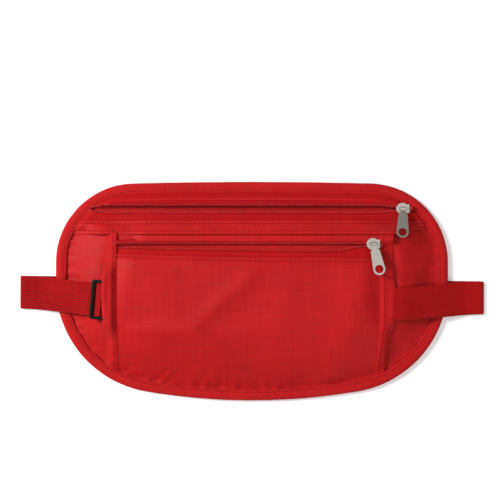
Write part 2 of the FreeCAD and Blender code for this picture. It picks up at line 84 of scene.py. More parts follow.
class BeltSizes(bpy.types.PropertyGroup):
    """Sizes of the pouch's outline, cloth, edges, stitches and straps."""

    upper_corner_radius: length_property("Upper corner radius", 0.053, "Radius of the two corners on top")
    upper_rise: length_property("Upper rise", 0.001, "How far the top edge bows out")
    lower_corner_radius: length_property("Lower corner radius", 0.072, "Radius of the two corners below")
    lower_rise: length_property("Lower rise", 0.005, "How far the bottom edge bows out")
    cloth: length_property("Cloth", 0.0006, "Thickness of the pouch's cloth with its coating")
    cloth_cell: length_property("Cloth cell", 0.0016, "Size of one face of the cloth's mesh")
    rim_width: length_property("Rim width", 0.008, "Width of the flat rim round the pouch's front")
    slope_width: length_property("Slope width", 0.025, "Run over which the front rises from its rim")
    pocket_run: length_property("Pocket run", 0.014, "Run over which the pocket rises from its sides")
    pocket_rise: length_property("Pocket rise", 0.052, "Run over which the pocket rises from below")
    edge_hidden: length_property("Edge hidden", 0.0028, "How far inside the outline the cloth ends")
    binding_width: length_property("Binding width", 0.007, "Width of the binding round the pouch's edge")
    fold_height: length_property("Fold height", 0.0026, "Height of the soft folds in the cloth")
    pucker_height: length_property("Pucker height", 0.00032, "Height of the gathers beside the bound edge")
    stitch_length: length_property("Stitch length", 0.0021, "Length of one stitch")
    stitch_pitch: length_property("Stitch pitch", 0.0029, "Distance from one stitch to the next")
    stitch_width: length_property("Stitch width", 0.00042, "Thickness of the sewing thread")
    tooth_pitch: length_property("Tooth pitch", 0.00135, "Distance from one coil turn to the next")
    strap_width: length_property("Strap width", 0.022, "Width of the straps")
    strap_thickness: length_property("Strap thickness", 0.0011, "Thickness of the straps")
    rib_count: IntProperty(name="Ribs", default=15, min=3, max=40,
                           description="Lengthwise ribs on the left strap")


class BeltColours(bpy.types.PropertyGroup):
    """Colours of the cloth, bindings, tapes, straps and fittings."""

    cloth: colour_property("Cloth", (0.475, 0.0075, 0.0085), "Coated ripstop cloth")
    binding: colour_property("Binding", (0.48, 0.0075, 0.0085), "Woven tape round the edges")
    zip_tape: colour_property("Zipper tape", (0.42, 0.003, 0.004), "Knitted zipper tape")
    coil: colour_property("Coil", (0.52, 0.008, 0.010), "Nylon zipper coil")
    thread: colour_property("Thread", (0.15, 0.001, 0.0015), "Sewing thread")
    elastic: colour_property("Ribbed elastic", (0.42, 0.0022, 0.003), "Left strap")
    webbing: colour_property("Plain webbing", (0.38, 0.0018, 0.002), "Right strap")
    nickel: colour_property("Nickel", (0.60, 0.55, 0.50), "Sliders and pull tabs")
    plastic: colour_property("Plastic", (0.0022, 0.0022, 0.0026), "Adjuster and buckle")
    floor: colour_property("Floor", (0.93, 0.93, 0.93), "Pale floor under the belt")


def sizes():
    return bpy.context.scene.belt_sizes


def size(name):
    """One of the belt's sizes in millimetres."""
    return getattr(sizes(), name) / MM


def colours():
    return bpy.context.scene.belt_colours


# Places on the CAD nodes in millimetres

Corner = namedtuple("Corner", "x y z")


def corners(node):
    """Lowest and highest corners of a CAD node."""
    return [Corner(*(value / MM for value in corner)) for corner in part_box(node)]


def top_of(node):
    return corners(node)[1].z


def middle_y(node):
    low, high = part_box(node)
    return (low.y + high.y) / 2 / MM


def ease(share):
    share = np.clip(share, 0.0, 1.0)
    return share * share * (3 - 2 * share)


def soft_slope(share):
    """A straight slope with its two ends rounded off."""
    share = np.clip(share, 0.0, 1.0)
    return 0.45 * share + 0.55 * ease(share)


def lower_of(a, b, blend):
    """The lower of two heights, blended where they cross."""
    gap = np.clip(0.5 + (b - a) / (2 * blend), 0.0, 1.0)
    return b * (1 - gap) + a * gap - blend * gap * (1 - gap)


def ridge(distance, width):
    """1 on a line, falling off smoothly beside it."""
    return np.exp(-((distance / width) ** 2))


class Outline:
    """The pouch's edge in millimetres: four round corners joined by two shallow arcs and short sides."""

    def __init__(self):
        low, high = corners("edge_binding")
        self.half = high.x
        self.arcs = []
        for way, crest, radius, rise in (
            (1, high.y, size("upper_corner_radius"), size("upper_rise")),
            (-1, low.y, size("lower_corner_radius"), size("lower_rise")),
        ):
            side = self.half - radius
            shallow = radius + rise / 2 + side**2 / (2 * rise)
            corner_y, shallow_y = crest - way * (radius + rise), crest - way * shallow
            self.arcs.append((way, side, corner_y, radius, shallow, shallow_y))

    def inset(self, x, y):
        """How far inside the edge each point lies."""
        x = np.abs(x)
        found = self.half - x
        for way, side, corner_y, radius, shallow, shallow_y in self.arcs:
            found = np.minimum(found, shallow - np.hypot(x, y - shallow_y))
            beside = way * (side * (y - corner_y) - (corner_y - shallow_y) * (x - side)) < 0
            in_corner = beside & (way * (y - corner_y) > 0)
            from_corner = radius - np.hypot(x - side, y - corner_y)
            found = np.where(in_corner, np.minimum(found, from_corner), found)
        return found

    def span(self, x, inset):
        """Lowest and highest y at each x, a given inset from the edge."""
        x = np.abs(np.asarray(x, float))
        ends = []
        for way, side, corner_y, radius, shallow, shallow_y in self.arcs:
            meet = side * (shallow - inset) / (shallow - radius)
            round_part = np.sqrt(np.maximum((radius - inset) ** 2 - np.maximum(x - side, 0.0) ** 2, 0.0))
            flat_part = np.sqrt(np.maximum((shallow - inset) ** 2 - x**2, 0.0))
            ends.append(np.where(x > meet, corner_y + way * round_part, shallow_y + way * flat_part))
        return ends[1], ends[0]

    def loop(self, count):
        """Points and outward normals evenly round the whole edge."""
        up, down = self.arcs
        points = []
        for (way, side, corner_y, radius, shallow, shallow_y), outward_first in ((down, False), (up, True)):
            meet = math.atan2(corner_y - shallow_y, side)
            pieces = [(0.0, shallow_y, shallow, way * math.pi / 2, meet),
                      (side, corner_y, radius, meet, 0.0)]
            if outward_first:
                pieces = [(x, y, reach, end, start) for x, y, reach, start, end in reversed(pieces)]
            for x, y, reach, start, end in pieces:
                angle = np.linspace(start, end, 400)
                points.append(np.stack([x + reach * np.cos(angle), y + reach * np.sin(angle)], 1))
        right = np.concatenate(points)
        line = np.concatenate([right, right[::-1] * (-1, 1)])
        line = np.concatenate([line, line[:1]])
        run = np.concatenate([[0.0], np.cumsum(np.hypot(*np.diff(line, axis=0).T))])
        at = np.linspace(0.0, run[-1], count, endpoint=False)
        loop = np.stack([np.interp(at, run, line[:, k]) for k in (0, 1)], 1)
        along = np.roll(loop, -1, 0) - np.roll(loop, 1, 0)
        along /= np.hypot(*along.T)[:, None]
        return loop, np.stack([along[:, 1], -along[:, 0]], 1), run[-1]


# Heights of the cloth in millimetres


def crease(x, y, start, end, width, height):
    """A soft ridge along a line, fading out at both ends."""
    start, end = np.array(start, float), np.array(end, float)
    along = end - start
    length = np.hypot(*along)
    along /= length
    run = (x - start[0]) * along[0] + (y - start[1]) * along[1]
    off = (y - start[1]) * along[0] - (x - start[0]) * along[1]
    fade = ease(run / (0.3 * length)) * ease((length - run) / (0.3 * length))
    return height * fade * ridge(off, width)


def ripples(x, y, shift):
    """Gentle unevenness of loose cloth, between about -1 and 1."""
    warp = 6 * np.sin(x / 23 + shift) + 5 * np.cos(y / 17 - shift)
    total = 0.5 * np.sin((x * 0.9 + y * 0.5 + warp) / 9.5 + shift)
    total = total + 0.3 * np.sin((x * 0.3 - y * 1.1 - warp) / 6.1 + 2 * shift)
    return total + 0.2 * np.sin((x * 1.2 - y * 0.4 + 2 * warp) / 4.3 + 3 * shift)


def puckers(outline, x, y):
    """Gathers that run in from the bound edge and die out in the cloth."""
    inset = outline.inset(x, y)
    angle = np.arctan2(y * 1.6, x)
    wave = np.sin(angle * 61 + 2.5 * np.sin(angle * 9)) + 0.6 * np.sin(angle * 97 + 1.3)
    return size("pucker_height") * wave * np.exp(-np.maximum(inset - 7.0, 0.0) / 6.0)


RIM_DROP = 1.4  # from the top of the edge binding to the cloth that goes into it

# Start, end, width and share of the fold height of the soft folds on the pocket
POCKET_FOLDS = (
    ((10, 20), (-44, -28), 6.5, 0.62),
    ((-93, -25), (-30, -25), 5.5, 0.5),
    ((-52, -16), (6, -64), 7.5, 0.8),
    ((-84, 12), (-66, -30), 9.0, -0.35),
    ((30, 22), (12, -40), 11.0, 0.35),
    ((62, -52), (34, -66), 6.0, 0.4),
    ((74, 10), (58, -58), 9.0, 0.3),
)


def front_height(outline, x, y, folds=True):
    """Outer side of the front cloth: a flat rim, a slope and a nearly flat top."""
    rim = top_of("edge_binding") - RIM_DROP
    share = (outline.inset(x, y) - size("rim_width")) / size("slope_width")
    height = rim + (top_of("front_panel") - rim) * soft_slope(share)
    if folds:
        low, high = corners("pocket_panel")
        for edge, deep in ((low.x - 4, 1.1), (high.x + 5, 0.7)):
            height = height - deep * ridge(x - edge, 6.5) * ease(share)
        height = height + puckers(outline, x, y) + 0.22 * ripples(x, y, 0.7) * ease(share + 0.3)
        for side in (-1, 1):
            height = height + crease(x, y, (side * 119, 30), (side * 104, -2), 5.0, 0.45)
            height = height + crease(x, y, (side * 120, -18), (side * 99, -44), 4.0, 0.5)
    return height


def pocket_height(outline, x, y):
    """Outer side of the front pocket's cloth, a little higher where it lies over the adjuster."""
    low, high = corners("pocket_panel")
    base = top_of("front_panel") + 0.7
    rim = top_of("edge_binding") - RIM_DROP
    from_side = np.minimum(x - low.x, high.x - x)
    side = base + (high.z - base) * soft_slope(from_side / size("pocket_run"))
    side = side + 2.0 * ridge(y + 5.4, 18) * (1 - ease((x - low.x) / 16))
    share = np.clip((outline.inset(x, y) - size("rim_width")) / size("pocket_rise"), 0.0, 1.0)
    below = rim + (high.z - rim) * (1 - (1 - share) ** 2)
    folds = 0.0
    for start, end, width, tall in POCKET_FOLDS:
        folds = folds + crease(x, y, start, end, width, tall * size("fold_height"))
    loose = ease(from_side / 20) * (folds + 0.3 * ripples(x, y, 1.9))
    return lower_of(side, below, 1.2) + loose + 1.3 * puckers(outline, x, y)


def pocket_edge(x):
    """y of the folded edge of the pocket's cloth, which hangs lower towards the right."""
    share = x / 90.0
    return middle_y("pocket_slider") - 8.6 - 1.3 * share + 0.7 * share**2


def left_sink(x):
    """How far the pocket's left end lies below its top, so that the closed zipper's tab clears it."""
    start = corners("pocket_panel")[0].x + 22
    return 3.8 * ease((start - x) / 18)


# Meshes


def finish_object(name, mesh, finish, body, nodes=()):
    """Links a mesh as a piece that rides on a body and stands for CAD nodes."""
    made = bpy.data.objects.new(name, mesh)
    bpy.context.scene.collection.objects.link(made)
    mesh.materials.clear()
    mesh.materials.append(material(finish))
    if body:
        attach(made, body)
    if nodes:
        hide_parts(*nodes)
    return made


def loft(name, rings, closed=False):
    """A closed skin through rings of points in millimetres, each with its upper half first."""
    rings = np.asarray(rings, float)
    count, around = rings.shape[:2]
    mesh = bpy.data.meshes.new(name)
    grid = np.arange(count * around).reshape(count, around)
    ahead = np.roll(grid, -1, 0) if closed else grid[1:]
    here = grid if closed else grid[:-1]
    faces = np.stack([here, np.roll(here, -1, 1), np.roll(ahead, -1, 1), ahead], -1).reshape(-1, 4)
    if not closed:
        half = around // 2
        k = np.arange(half - 1)
        for row, turn in ((grid[0], -1), (grid[-1], 1)):
            cap = np.stack([row[k], row[k + 1], row[around - 2 - k], row[around - 1 - k]], -1)
            faces = np.concatenate([faces, cap[:, ::turn]])
    mesh.from_pydata((rings.reshape(-1, 3) * MM).tolist(), [], faces.tolist())
    steps = np.linalg.norm(np.diff(rings[:, 0], axis=0), axis=1)
    along = np.concatenate([[0.0], np.cumsum(steps)]) * MM
    spread = np.linalg.norm(np.diff(rings[count // 2], axis=0), axis=1)
    across = np.concatenate([[0.0], np.cumsum(spread)]) * MM
    table = np.stack(np.broadcast_arrays(along[:, None], across[None, :]), -1).reshape(-1, 2)
    layer = mesh.uv_layers.new(name="weave")
    corner = np.zeros(len(mesh.loops), np.int32)
    mesh.loops.foreach_get("vertex_index", corner)
    layer.data.foreach_set("uv", table[corner].astype(np.float32).ravel())
    outward(mesh)
    mesh.polygons.foreach_set("use_smooth", [True] * len(mesh.polygons))
    return mesh


def outward(mesh):
    work = bmesh.new()
    work.from_mesh(mesh)
    bmesh.ops.recalc_face_normals(work, faces=work.faces)
    work.to_mesh(mesh)
    work.free()


def cloth_rings(columns, lows, highs, rows, height, thickness):
    """Rings of a sheet that lies between two y edges, with its upper side at a given height."""
    share = np.linspace(0.0, 1.0, rows)
    x = np.broadcast_to(columns[:, None], (len(columns), rows))
    y = lows[:, None] + (highs - lows)[:, None] * share[None, :]
    top = np.stack([x, y, height(x, y)], -1)
    step_x = np.gradient(top, axis=0)
    step_y = np.gradient(top, axis=1)
    normal = np.cross(step_x, step_y)
    normal /= np.linalg.norm(normal, axis=-1, keepdims=True)
    under = top - normal * thickness
    return np.concatenate([top, under[:, ::-1]], axis=1)


def columns_between(low, high, cell):
    return np.linspace(low, high, max(2, int(round((high - low) / cell)) + 1))


def cloth_piece(name, rings, finish, slot, node, held, *rests_on):
    """A sheet that stands for a CAD node."""
    piece = finish_object(name, loft(name, rings), finish, "pouch", [node])
    return piece


def line_on(surface, x, y, lift):
    """Points along x, a little above a surface."""
    y = y + 0.0 * x
    return np.stack([x, y, surface(x, y) + lift], 1)


def ribbon_rings(path, side, section):
    """Rings of a band whose middle line follows a path, from (across, off) points of its section."""
    path = np.asarray(path, float)
    along = np.gradient(path, axis=0)
    along /= np.linalg.norm(along, axis=1)[:, None]
    side = np.asarray(side, float)
    side = side - along * (along * side).sum(1)[:, None]
    side /= np.linalg.norm(side, axis=1)[:, None]
    off = np.cross(along, side)
    section = np.asarray(section, float)
    return path[:, None] + side[:, None] * section[None, :, :1] + off[:, None] * section[None, :, 1:]


def smoothed(points, rounds=3):
    """A line whose corners are cut off again and again."""
    points = np.asarray(points, float)
    for _ in range(rounds):
        near = 0.75 * points[:-1] + 0.25 * points[1:]
        far = 0.25 * points[:-1] + 0.75 * points[1:]
        middle = np.stack([near, far], 1).reshape(-1, points.shape[1])
        points = np.concatenate([points[:1], middle, points[-1:]])
    return points


def evenly(points, step):
    """Points a step apart along a line."""
    points = np.asarray(points, float)
    run = np.concatenate([[0.0], np.cumsum(np.linalg.norm(np.diff(points, axis=0), axis=1))])
    at = np.linspace(0.0, run[-1], max(2, int(run[-1] / step)))
    return np.stack([np.interp(at, run, points[:, k]) for k in range(points.shape[1])], 1)


# Materials


def feed(tree, node, values):
    """Sets a node's inputs, or links them where a value is another node's output."""
    for socket, value in values.items():
        if isinstance(value, bpy.types.NodeSocket):
            tree.links.new(value, node.inputs[socket])
        else:
            node.inputs[socket].default_value = value
    return node


class Finish:
    """Builds one node material, a step at a time."""

    def __init__(self, name, colour, roughness, metallic=0.0, sheen=0.0, shine=0.5):
        self.material = bpy.data.materials.new(name)
        self.material.use_nodes = True
        self.tree = self.material.node_tree
        self.shader = self.tree.nodes["Principled BSDF"]
        self.colour = colour
        self.height = None
        self.paint({"Base Color": (*colour, 1.0), "Roughness": roughness, "Metallic": metallic,
                    "Sheen Weight": sheen, "Specular IOR Level": shine})

    def paint(self, values):
        feed(self.tree, self.shader, values)

    def add(self, kind, values=None):
        return feed(self.tree, self.tree.nodes.new("ShaderNode" + kind), values or {})

    def place(self, scale, uv=False):
        """Coordinates in metres times a scale along each axis."""
        source = self.add("TexCoord").outputs["UV" if uv else "Object"]
        return self.add("Mapping", {"Vector": source, "Scale": scale}).outputs["Vector"]

    def wave(self, place, direction, scale):
        node = self.add("TexWave", {"Vector": place, "Scale": scale})
        node.bands_direction = direction
        return node.outputs["Fac"]

    def noise(self, place, scale, detail=3.0):
        return self.add("TexNoise", {"Vector": place, "Scale": scale, "Detail": detail}).outputs["Fac"]

    def math(self, operation, first, second):
        node = self.add("Math", {0: first, 1: second})
        node.operation = operation
        return node.outputs[0]

    def mix(self, first, second, share):
        """Sum of two factors, the first with a given share."""
        parts = [self.math("MULTIPLY", first, share), self.math("MULTIPLY", second, 1 - share)]
        return self.math("ADD", *parts)

    def tint(self, factor, dark, light):
        """Colours the surface between a darker and a lighter share of its own colour."""
        ramp = self.add("ValToRGB", {"Fac": factor})
        low, high = ramp.color_ramp.elements
        low.position, high.position = 0.32, 0.68
        low.color = (*[channel * dark for channel in self.colour], 1.0)
        high.color = (*[min(1.0, channel * light) for channel in self.colour], 1.0)
        self.paint({"Base Color": ramp.outputs["Color"]})

    def roughen(self, factor, low, high):
        spread = self.add("MapRange", {"Value": factor, "To Min": low, "To Max": high})
        self.paint({"Roughness": spread.outputs["Result"]})

    def bump(self, factor, depth, strength=1.0):
        values = {"Height": factor, "Distance": depth, "Strength": strength}
        if self.height:
            values["Normal"] = self.height
        self.height = self.add("Bump", values).outputs["Normal"]
        self.paint({"Normal": self.height})


def weave_finish(name, colour, thread, roughness, slub, depth, uv=False, sheen=0.02, shaded_grooves=False):
    """Woven cloth: two sets of threads a pitch apart, uneven in thickness and colour, optionally with
    painted shade darkening the grooves between ribs.
    """
    finish = Finish(name, colour, roughness, sheen=sheen, shine=0.13)
    flat = finish.place((1, 1, 1), uv)
    across = finish.wave(flat, "X", math.tau / (20 * thread))
    along = finish.wave(flat, "Y", math.tau / (20 * thread))
    weave = finish.mix(across, along, 0.5)
    streak_x = finish.noise(finish.place((45, 950, 45), uv), 1.0)
    streak_y = finish.noise(finish.place((950, 45, 45), uv), 1.0)
    streaks = finish.mix(streak_x, streak_y, 0.5)
    mottle = finish.noise(finish.place((28, 28, 28), uv), 1.0)
    shade = finish.mix(finish.mix(streaks, mottle, 0.7), weave, 0.8)
    # Painted shade: the colour is darkened in the grooves between the ribs, by the share stored on each
    # point of the strap.
    if shaded_grooves:
        groove_shade = finish.add("Attribute")
        groove_shade.attribute_name = "groove_shade"
        shade = finish.math("SUBTRACT", shade, finish.math("MULTIPLY", groove_shade.outputs["Fac"], 0.5))
    finish.tint(shade, 1 - slub, 1 + slub)
    finish.roughen(streaks, roughness - 0.08, roughness + 0.1)
    finish.bump(streaks, depth * 1.6, 0.5)
    finish.bump(weave, depth)


def make_materials():
    """Makes all finishes of the belt."""
    colour = colours()
    weave_finish("belt_cloth", colour.cloth, 0.0007, 0.54, 0.26, 0.00005)
    weave_finish("belt_binding", colour.binding, 0.0005, 0.72, 0.20, 0.00006, uv=True, sheen=0.03)
    weave_finish("belt_zip_tape", colour.zip_tape, 0.0006, 0.75, 0.20, 0.00008, sheen=0.03)
    weave_finish("belt_elastic", colour.elastic, 0.0009, 0.78, 0.42, 0.00012, uv=True, sheen=0.04,
                 shaded_grooves=True)
    weave_finish("belt_webbing", colour.webbing, 0.0008, 0.66, 0.22, 0.00010, uv=True, sheen=0.03)
    thread = Finish("belt_thread", colour.thread, 0.7, shine=0.15)
    thread.bump(thread.wave(thread.place((1, 1, 1)), "DIAGONAL", 900.0), 0.00005)
    turns = Finish("belt_coil", colour.coil, 0.36)
    turns.tint(turns.noise(turns.place((1, 1, 1)), 260.0), 0.8, 1.25)
    nickel = Finish("belt_nickel", colour.nickel, 0.2, metallic=1.0)
    scuffs = nickel.noise(nickel.place((1, 1, 1)), 900.0, 6.0)
    nickel.roughen(scuffs, 0.3, 0.5)
    nickel.bump(scuffs, 0.00002, 0.4)
    plastic = Finish("belt_plastic", colour.plastic, 0.34, shine=0.07)
    grain = plastic.noise(plastic.place((1, 1, 1)), 1400.0, 4.0)
    plastic.roughen(grain, 0.28, 0.46)
    plastic.bump(grain, 0.00002, 0.5)


def material(name):
    return bpy.data.materials["belt_" + name]


# Beads along a line, for stitches and coil turns


def bead_tree():
    """Geometry nodes that lay rounded beads along the object's edges."""
    tree = bpy.data.node_groups.new("beads_on_line", "GeometryNodeTree")
    inputs = [("Geometry", "Geometry"), ("Pitch", "Float"), ("Along", "Float"), ("Across", "Float"),
              ("High", "Float"), ("Material", "Material")]
    for name, kind in inputs:
        tree.interface.new_socket(name, in_out="INPUT", socket_type="NodeSocket" + kind)
    tree.interface.new_socket("Geometry", in_out="OUTPUT", socket_type="NodeSocketGeometry")
    given = tree.nodes.new("NodeGroupInput").outputs

    def add(kind, values, **modes):
        """A node with its modes set and its inputs fed; returns its outputs."""
        node = tree.nodes.new(kind)
        for name, mode in modes.items():
            setattr(node, name, mode)
        return feed(tree, node, values).outputs

    curve = add("GeometryNodeMeshToCurve", {"Mesh": given["Geometry"]})
    places = add("GeometryNodeResampleCurve", {"Curve": curve[0], "Length": given["Pitch"]}, mode="LENGTH")
    bead = add("GeometryNodeMeshUVSphere", {"Segments": 7, "Rings": 5, "Radius": 0.5})
    tangent = add("GeometryNodeInputTangent", {})
    aim = add("FunctionNodeAxesToRotation", {"Primary Axis": tangent[0], "Secondary Axis": (0, 0, 1)},
              primary_axis="X", secondary_axis="Z")
    scale = add("ShaderNodeCombineXYZ", {"X": given["Along"], "Y": given["Across"], "Z": given["High"]})
    rows = add("GeometryNodeInstanceOnPoints", {"Points": places[0], "Instance": bead["Mesh"],
                                                "Rotation": aim[0], "Scale": scale[0]})
    smooth = add("GeometryNodeSetShadeSmooth", {"Geometry": rows[0]})
    real = add("GeometryNodeRealizeInstances", {"Geometry": smooth[0]})
    paint = add("GeometryNodeSetMaterial", {"Geometry": real[0], "Material": given["Material"]})
    add("NodeGroupOutput", {"Geometry": paint[0]})
    return tree


def beads(name, lines, pitch, along, across, high, finish):
    """A mesh of beads laid along lines of points in millimetres."""
    tree = bpy.data.node_groups.get("beads_on_line") or bead_tree()
    points, edges = [], []
    for line in lines:
        start = len(points)
        points += (np.asarray(line, float) * MM).tolist()
        edges += [(start + k, start + k + 1) for k in range(len(line) - 1)]
    source = bpy.data.meshes.new(name + "_line")
    source.from_pydata(points, edges, [])
    holder = bpy.data.objects.new(name + "_line", source)
    bpy.context.scene.collection.objects.link(holder)
    modifier = holder.modifiers.new("beads", "NODES")
    modifier.node_group = tree
    values = {"Pitch": pitch, "Along": along, "Across": across, "High": high, "Material": material(finish)}
    for item in tree.interface.items_tree:
        if item.in_out == "INPUT" and item.name in values:
            modifier[item.identifier] = values[item.name]
    found = holder.evaluated_get(bpy.context.evaluated_depsgraph_get())
    mesh = bpy.data.meshes.new_from_object(found)
    bpy.data.objects.remove(holder)
    mesh.name = name
    return mesh


def stitches(name, lines):
    mesh = beads(name, lines, sizes().stitch_pitch, sizes().stitch_length, sizes().stitch_width,
                 sizes().stitch_width * 0.8, "thread")
    finish_object(name, mesh, "thread", "pouch")


def softened(node, name, finish, body, width):
    """A copy of a CAD node with its sharp edges rounded."""
    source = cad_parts[node]
    mesh = source.data.copy()
    work = bmesh.new()
    work.from_mesh(mesh)
    bmesh.ops.remove_doubles(work, verts=work.verts, dist=0.000004)
    bmesh.ops.dissolve_limit(work, angle_limit=math.radians(0.6), verts=work.verts, edges=work.edges)
    work.to_mesh(mesh)
    work.free()
    mesh.polygons.foreach_set("use_smooth", [True] * len(mesh.polygons))
    made = finish_object(name, mesh, finish, body, [node])
    bevel = made.modifiers.new("round_edges", "BEVEL")
    bevel.width = width
    bevel.segments = 2
    bevel.limit_method = "ANGLE"
    bevel.angle_limit = math.radians(38)
    level = made.modifiers.new("even_normals", "WEIGHTED_NORMAL")
    level.weight = 100


# Operators


class MakeFinishes(bpy.types.Operator):
    """Makes the materials of the belt"""

    bl_idname = "money_belt.finishes"
    bl_label = "Finishes"

    def execute(self, context):
        make_materials()
        return {"FINISHED"}


BACK_LEVEL = 2.3  # outer side of the back cloth away from the buckle


class MakeBackPanel(bpy.types.Operator):
    """Makes the back cloth, with room for the buckle"""

    bl_idname = "money_belt.back_panel"
    bl_label = "Back panel"

    def execute(self, context):
        outline = Outline()
        low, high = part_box("buckle_female")
        left, right = low.x / MM - 1.4, corners("buckle_male")[1].x + 25
        half = (high.y - low.y) / 2 / MM + 0.6
        roof = top_of("back_panel")
        turn = back_lane_turn()

        def height(x, y):
            along = x * math.cos(turn) + (y - lane_y(0.0)) * math.sin(turn)
            beside = np.abs((y - lane_y(0.0)) * math.cos(turn) - x * math.sin(turn)) - half
            ahead = np.maximum(left - along, along - right)
            outside = np.hypot(np.maximum(ahead, 0.0), np.maximum(beside, 0.0))
            bulge = 1 - ease(outside / 5.0)
            inset = outline.inset(x, y)
            loose = 0.1 * ripples(x, y, 4.2) * ease((inset - 9) / 10) * bulge**2
            slack = 0.25 * ease((inset - 12) / 20) * (1 - bulge)
            return BACK_LEVEL + (roof - BACK_LEVEL) * bulge + loose + slack

        reach = outline.half - size("edge_hidden")
        columns = columns_between(-reach, reach, size("cloth_cell"))
        lows, highs = outline.span(columns, size("edge_hidden"))
        rings = cloth_rings(columns, lows, highs, int(150 / size("cloth_cell")), height, 0.75)
        cloth_piece("back_panel_cloth", rings, "cloth", "ripstop_cloth", "back_panel", "laid",
                    "edge_binding_tape")
        return {"FINISHED"}


def fold_y(strap_front):
    """Middle of a strap's fold, from the CAD node of its front part."""
    return corners(strap_front)[1].y - size("strap_width") / 2


def back_lane_turn():
    """Angle of the line that both straps follow behind the pouch."""
    left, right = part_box("strap_left_front"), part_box("strap_right_front")
    rise = fold_y("strap_right_front") - fold_y("strap_left_front")
    return math.atan2(rise, (right[1].x - left[0].x) / MM)


def lane_y(x):
    """Middle line of the straps behind the pouch, in millimetres."""
    middle = (fold_y("strap_left_front") + fold_y("strap_right_front")) / 2
    return middle + x * math.tan(back_lane_turn())


BAND_RUN = 34.4  # run over which the band rises from the slider's level, as in the CAD
TAPE_RUN = 45.4  # the same for the tape
MAIN_GAP = 2.6  # from the main zipper's middle line to each coil, where it is open
MAIN_CLOSING = 1.5  # how far each side comes across as the main zipper closes
POCKET_CLOSING = 2.4  # the same for the pocket zipper's lower side
POCKET_UPPER_CLOSING = -0.7


def lip_height(x, crown, run):
    """Top of the cloth at the main zipper's lower side, with a crown height between its ends."""
    low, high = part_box("main_slider")
    slider_x = (low.x + high.x) / 2 / MM
    level = low.z / MM + 1.95
    share = (slider_x - 5 - np.abs(x)) / (run - 5)
    return level + (crown - level) * ease(share)


def settled(outline, x, y, height):
    """Cloth that sinks to the rim where it goes into the edge binding."""
    rim = top_of("edge_binding") - 0.75
    share = ease((outline.inset(x, y) - 5.8) / 3.6)
    return rim + (height - rim) * share


class MakePouchFront(bpy.types.Operator):
    """Makes the front cloth, the band below the main zipper and the narrow panel above it"""

    bl_idname = "money_belt.pouch_front"
    bl_label = "Pouch front"

    def execute(self, context):
        outline = Outline()
        cell, hidden = size("cloth_cell"), size("edge_hidden")
        seam = corners("front_panel")[1].y
        band_top = corners("facing_band")[1].y
        panel_low = corners("main_tape_upper")[1].y
        reach = outline.half - hidden
        columns = columns_between(-reach, reach, cell)
        lows, highs = outline.span(columns, hidden)

        def front(x, y):
            return front_height(outline, x, y)

        tops = np.minimum(highs, seam + 3.6)
        rings = cloth_rings(columns, lows, tops, int(115 / cell), front, size("cloth"))
        cloth_piece("front_panel_cloth", rings, "cloth", "ripstop_cloth", "front_panel", "stretched",
                    "edge_binding_tape")

        fold = seam + 1.9
        hem_low, hem_high = corners("pocket_top_hem")

        def band(x, y):
            share = ease((y - fold) / (band_top - fold))
            over_hem = ease((x - hem_low.x + 12) / 13) * ease((hem_high.x + 12 - x) / 13)
            low = front_height(outline, x, y * 0 + fold, False) + 0.45
            raised = top_of("pocket_top_hem") + 1.5 - left_sink(x)
            low = np.maximum(low, low + (raised - low) * over_hem)
            high = lip_height(x, 10.0, BAND_RUN)
            edge = 0.45 * ridge(y - band_top + 0.7, 0.6)
            tuck = 0.35 * ridge(y - band_top + 2.0, 0.5) + 0.4 * ridge(y - fold - 2.4, 0.6)
            loose = 0.2 * ripples(x, y, 3.1)
            return settled(outline, x, y, low + (high - low) * share + edge - tuck + loose)

        wide = columns[highs > fold + 0.5]
        tops = np.minimum(outline.span(wide, hidden)[1], band_top)
        rings = cloth_rings(wide, np.full(len(wide), fold), tops, 22, band, 0.7)
        cloth_piece("facing_band_cloth", rings, "cloth", "ripstop_cloth", "facing_band", "folded",
                    "front_panel_cloth")

        def above(x, y):
            rim = top_of("edge_binding") - 0.8
            level = top_of("main_tape_upper") + 0.75
            share = (outline.inset(x, y) - 7.0) / 5.6
            edge = 0.35 * ridge(y - panel_low - 0.8, 0.6)
            tuck = 0.35 * ridge(y - panel_low - 2.2, 0.5)
            body = rim + (level - rim) * soft_slope(share)
            return settled(outline, x, y, body + edge - tuck + 0.1 * ripples(x, y, 5.0))

        wide = columns[highs > panel_low + 0.5]
        tops = outline.span(wide, hidden)[1]
        rings = cloth_rings(wide, np.full(len(wide), panel_low), tops, 14, above, 0.8)
        cloth_piece("top_panel_cloth", rings, "cloth", "ripstop_cloth", "top_panel", "folded",
                    "edge_binding_tape")

        seam_x = columns[highs > seam + 6]
        stitches("pouch_front_stitches", [
            line_on(band, seam_x[2:-2], band_top - 2.0, 0.12),
            line_on(above, wide[(wide > -108) & (wide < 108)], panel_low + 2.2, 0.12),
            line_on(band, seam_x[1:-1], fold + 2.4, 0.12),
        ])
        return {"FINISHED"}


def main_lines(x):
    """y of the lower and the upper coil of the open main zipper."""
    centre = middle_y("main_slider")
    near = ease((x - corners("main_slider")[0].x + 14) / 13)
    near = near + ease((-96 - x) / 10)
    return centre - MAIN_GAP + 1.1 * near, centre + MAIN_GAP - 1.1 * near


def pocket_lines(x):
    """y of the lower and the upper coil of the open pocket zipper."""
    centre = middle_y("pocket_slider")
    near = ease((x - corners("pocket_slider")[0].x + 24) / 24)
    lower = pocket_edge(x) + 4.4
    return lower + (centre - 1.5 - lower) * near, centre + 0.6 + 0.0 * x


def closes(piece, shift):
    """Gives a tape or coil a mesh of its own. The shift in millimetres along y is not used."""
    places = [vertex.co.y for vertex in piece.data.vertices]
    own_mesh(piece)


COIL_TURN = (0.00095, 0.0021, 0.0015)  # size of one turn along, across and up, in metres


def coil(zipper, side, line, shift):
    """One side's nylon coil along a line."""
    name = zipper + "_zip_coil_" + side
    mesh = beads(name, [line], sizes().tooth_pitch, *COIL_TURN, "coil")
    piece = finish_object(name, mesh, "coil", "pouch", [zipper + "_coil_" + side])
    closes(piece, shift)


